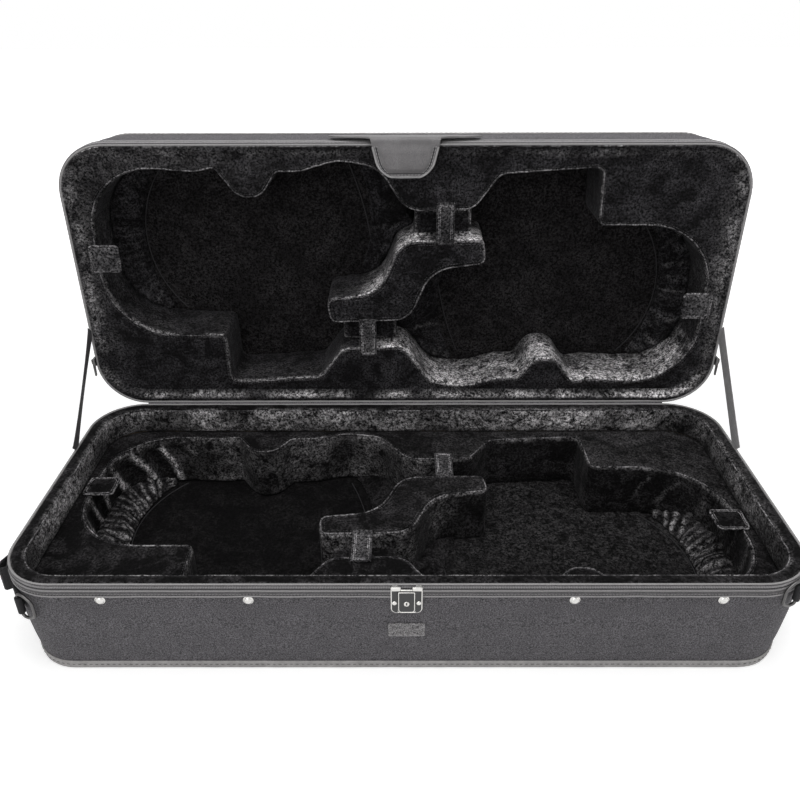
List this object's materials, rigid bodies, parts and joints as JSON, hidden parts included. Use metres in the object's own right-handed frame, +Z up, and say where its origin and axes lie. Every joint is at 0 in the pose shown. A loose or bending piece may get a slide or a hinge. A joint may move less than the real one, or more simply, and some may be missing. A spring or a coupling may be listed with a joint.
{
  "type": "violin case",
  "caption": "Open oblong violin case with an upright hinged lid, plush shaped rooms, S-shaped neck block, gathered pads, straps, zip tape, lock and D-rings.",
  "frame": {"origin": "centre of the base's underside, on the ground", "axes": "+X along the case to the right, -Y to the front with the lock, +Z up; stored as pictured, with the lid standing upright"},
  "size_m": [0.852, 0.4792, 0.4917],
  "materials": {
    "board": "matte",
    "nylon": "matte",
    "binding": "matte",
    "tape": "matte",
    "plush": "matte",
    "leatherette": "satin",
    "webbing": "matte",
    "chrome": "polished",
    "black_metal": "satin"
  },
  "bodies": {
    "base": {"base_shell": "board", "base_side_cover": "nylon", "base_bottom_cover": "nylon", "base_bottom_binding": "binding", "base_rim_frame": "plush", "base_insert": "plush", "base_neck_island": "plush", "base_floor_pad": "plush", "base_tail_pad_left": "plush", "base_tail_pad_right": "plush", "base_shoulder_pad_left": "plush", "base_shoulder_pad_right": "plush", "base_tail_tab_left": "plush", "base_tail_tab_right": "plush", "base_zip_tape": "tape", "front_rivet_1": "chrome", "front_rivet_2": "chrome", "front_rivet_3": "chrome", "front_rivet_4": "chrome", "lock_plate": "black_metal", "blank_patch": "binding", "d_ring_tab_left": "webbing", "d_ring_tab_right": "webbing", "webbing_loop": "webbing", "stay_tape_left": "webbing", "stay_tape_right": "webbing", "hinge_spine": "nylon"},
    "lid": {"lid_shell": "board", "lid_side_cover": "nylon", "lid_top_cover": "nylon", "lid_top_binding": "binding", "lid_rim_frame": "plush", "lid_insert": "plush", "lid_neck_island": "plush", "lid_floor_pad": "plush", "lid_tail_pad_left": "plush", "lid_tail_pad_right": "plush", "lid_shoulder_pad_left": "plush", "lid_shoulder_pad_right": "plush", "lid_tail_tab_left": "plush", "lid_tail_tab_right": "plush", "lid_zip_tape": "tape", "hasp": "chrome", "flap_root": "leatherette", "document_pocket": "nylon"},
    "flap": {"flap_tongue": "leatherette"},
    "slider": {"lock_slider": "black_metal"},
    "key": {"key_plug": "chrome"},
    "ring_left": {"d_ring_left": "chrome"},
    "ring_right": {"d_ring_right": "chrome"},
    "base_strap_upper": {"base_neck_strap_upper": "plush"},
    "base_strap_lower": {"base_neck_strap_lower": "plush"},
    "lid_strap_upper": {"lid_neck_strap_upper": "plush"},
    "lid_strap_lower": {"lid_neck_strap_lower": "plush"},
    "zip_left": {"zip_slider_left": "chrome"},
    "zip_right": {"zip_slider_right": "chrome"},
    "pull_left": {"zip_pull_left": "chrome"},
    "pull_right": {"zip_pull_right": "chrome"},
    "pocket_zip": {"pocket_slider": "chrome"},
    "pocket_zip_pull": {"pocket_pull": "chrome"}
  },
  "joints": [
    {"name": "lid_hinge", "type": "hinge", "parent": "base", "child": "lid", "pos_m": [0, 0.177, 0.1295], "axis": [1, 0, 0], "range_deg": [0, 90], "deforming": ["stay_tape_left", "stay_tape_right", "hinge_spine"]},
    {"name": "flap_swing", "type": "hinge", "parent": "lid", "child": "flap", "pos_m": [0, 0.171, 0.4908], "axis": [1, 0, 0], "range_deg": [-90, 0]},
    {"name": "slider_slide", "type": "slide", "parent": "base", "child": "slider", "axis": [0, 0, -1], "range_m": [0, 0.004], "stiffness_N_per_m": 200, "springref_m": -0.003},
    {"name": "key_turn", "type": "hinge", "parent": "slider", "child": "key", "pos_m": [0, -0.1807, 0.1075], "axis": [0, -1, 0], "range_deg": [0, 90]},
    {"name": "ring_left_swing", "type": "hinge", "parent": "base", "child": "ring_left", "pos_m": [-0.39726, -0.16867, 0.094], "axis": [0, 0, -1], "range_deg": [0, 135]},
    {"name": "ring_right_swing", "type": "hinge", "parent": "base", "child": "ring_right", "pos_m": [0.39726, -0.16867, 0.111], "axis": [0, 0, 1], "range_deg": [0, 135]},
    {"name": "base_strap_upper_lift", "type": "hinge", "parent": "base", "child": "base_strap_upper", "pos_m": [0.05, 0.0525, 0.0933], "axis": [-1, 0, 0], "range_deg": [-110, 0]},
    {"name": "base_strap_lower_lift", "type": "hinge", "parent": "base", "child": "base_strap_lower", "pos_m": [-0.05, -0.0525, 0.0933], "axis": [1, 0, 0], "range_deg": [-110, 0]},
    {"name": "lid_strap_upper_lift", "type": "hinge", "parent": "lid", "child": "lid_strap_upper", "pos_m": [0.05, 0.1822, 0.359], "axis": [-1, 0, 0], "range_deg": [-110, 0]},
    {"name": "lid_strap_lower_lift", "type": "hinge", "parent": "lid", "child": "lid_strap_lower", "pos_m": [-0.05, 0.1822, 0.254], "axis": [1, 0, 0], "range_deg": [-110, 0]},
    {"name": "zip_left_slide", "type": "slide", "parent": "lid", "child": "zip_left", "axis": [0, 0, 1], "range_m": [0, 0.2]},
    {"name": "zip_right_slide", "type": "slide", "parent": "lid", "child": "zip_right", "axis": [0, 0, 1], "range_m": [0, 0.2]},
    {"name": "pull_left_swing", "type": "hinge", "parent": "zip_left", "child": "pull_left", "pos_m": [-0.4238, 0.178, 0.1945], "axis": [0, 1, 0], "range_deg": [0, 150]},
    {"name": "pull_right_swing", "type": "hinge", "parent": "zip_right", "child": "pull_right", "pos_m": [0.4238, 0.178, 0.1945], "axis": [0, -1, 0], "range_deg": [0, 150]},
    {"name": "pocket_zip_slide", "type": "slide", "parent": "lid", "child": "pocket_zip", "axis": [1, 0, 0], "range_m": [0, 0.6]},
    {"name": "pocket_pull_swing", "type": "hinge", "parent": "pocket_zip", "child": "pocket_zip_pull", "pos_m": [-0.3, 0.2947, 0.4195], "axis": [0, 0, -1], "range_deg": [0, 150]}
  ],
  "couplings": [
    {"joint": "flap_swing", "follows": "lid_hinge", "ratio": -1}
  ]
}
